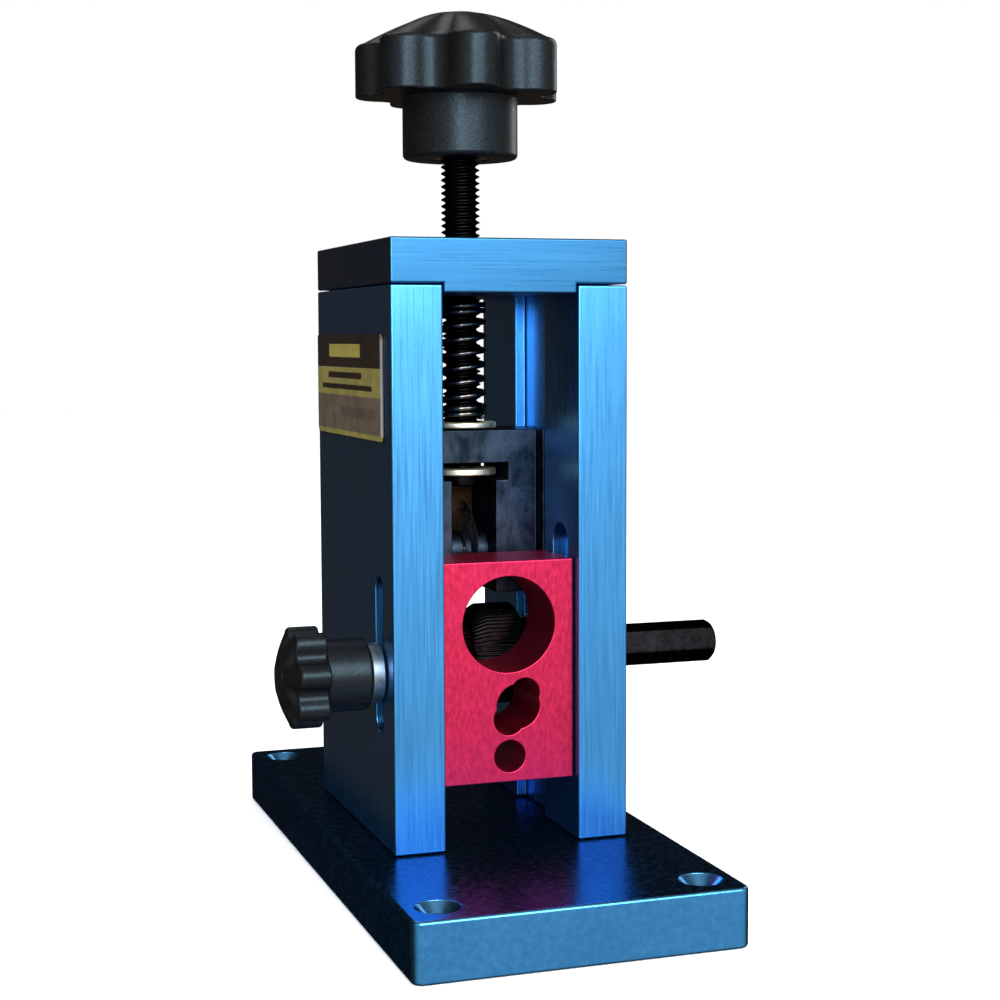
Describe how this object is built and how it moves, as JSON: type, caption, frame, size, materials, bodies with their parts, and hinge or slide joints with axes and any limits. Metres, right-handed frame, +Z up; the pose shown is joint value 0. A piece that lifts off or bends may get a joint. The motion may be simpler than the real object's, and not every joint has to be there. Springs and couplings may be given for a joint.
{
  "type": "wire stripping machine",
  "caption": "Bench wire stripper: upright anodised frame, feed roller on a hexagon shaft, sprung blade carriage on a knob screw, sliding wire guide with a lock knob.",
  "frame": {"origin": "middle of the base plate's underside", "axes": "+X right, the way the hexagon drive shaft sticks out; +Y from the feed side to the back; +Z up"},
  "size_m": [0.1203, 0.17, 0.2104],
  "materials": {
    "blue_anodised": "blue anodised, brushed",
    "red_anodised": "crimson anodised, satin",
    "black_plastic": "moulded black, satin",
    "dark_steel": "dark, scratched",
    "black_oxide": "black oxide",
    "spring_steel": "black, oiled",
    "bright_steel": "ground",
    "zinc": "yellow zinc plated",
    "grey_steel": "dark grey, matt",
    "bronze": "oil-filled bronze",
    "brass": "turned",
    "printed_label": "printed film"
  },
  "bodies": {
    "frame": {"base_plate": "blue_anodised", "left_side_plate": "blue_anodised", "right_side_plate": "blue_anodised", "top_plate": "blue_anodised", "base_screw_1": "black_oxide", "base_screw_2": "black_oxide", "base_screw_3": "black_oxide", "base_screw_4": "black_oxide", "top_screw_1": "black_oxide", "top_screw_2": "black_oxide", "top_screw_3": "black_oxide", "top_screw_4": "black_oxide", "side_label": "printed_label", "left_shaft_bush": "bronze", "right_shaft_bush": "bronze", "compression_spring": "spring_steel"},
    "carriage": {"blade_carriage": "dark_steel", "blade_guard": "black_oxide", "blade_axle": "bright_steel", "axle_set_screw": "black_oxide", "left_blade_spacer": "dark_steel", "right_blade_spacer": "dark_steel", "spring_seat_washer": "zinc"},
    "adjuster": {"adjuster_knob": "black_plastic", "knob_insert": "brass", "adjuster_screw": "black_oxide", "retaining_washer": "zinc", "retaining_nut": "black_oxide"},
    "blade": {"circular_blade": "bright_steel"},
    "drive": {"drive_shaft": "black_oxide", "feed_roller": "dark_steel", "roller_set_screw": "black_oxide"},
    "guide": {"guide_block": "red_anodised", "guide_key": "bright_steel"},
    "lock_slider": {"lock_washer": "grey_steel"},
    "lock": {"lock_knob": "black_plastic", "lock_stud": "black_oxide"}
  },
  "joints": [
    {"name": "carriage_slide", "type": "slide", "parent": "frame", "child": "carriage", "axis": [0, 0, 1], "range_m": [-0.0015, 0.012], "deforming": ["compression_spring"]},
    {"name": "adjuster_spin", "type": "hinge", "parent": "carriage", "child": "adjuster", "pos_m": [0, 0.001, 0.15], "axis": [0, 0, 1], "range_deg": [-340.2, 2721.3]},
    {"name": "blade_spin", "type": "hinge", "parent": "carriage", "child": "blade", "pos_m": [0, 0.001, 0.0791], "axis": [1, 0, 0], "continuous": true},
    {"name": "drive_spin", "type": "hinge", "parent": "frame", "child": "drive", "pos_m": [0, 0.001, 0.0529], "axis": [1, 0, 0], "continuous": true},
    {"name": "guide_slide", "type": "slide", "parent": "frame", "child": "guide", "axis": [0, 0, 1], "range_m": [-0.0108, 0.0192]},
    {"name": "lock_slide", "type": "slide", "parent": "guide", "child": "lock_slider", "axis": [-1, 0, 0], "range_m": [0, 0.0026]},
    {"name": "lock_spin", "type": "hinge", "parent": "lock_slider", "child": "lock", "pos_m": [-0.04, -0.02498, 0.05435], "axis": [-1, 0, 0], "range_deg": [0, 720]}
  ],
  "couplings": [
    {"joint": "adjuster_spin", "follows": "carriage_slide", "rad_per_m": 3957.9},
    {"joint": "lock_slide", "follows": "lock_spin", "m_per_rad": 0.00020213}
  ]
}
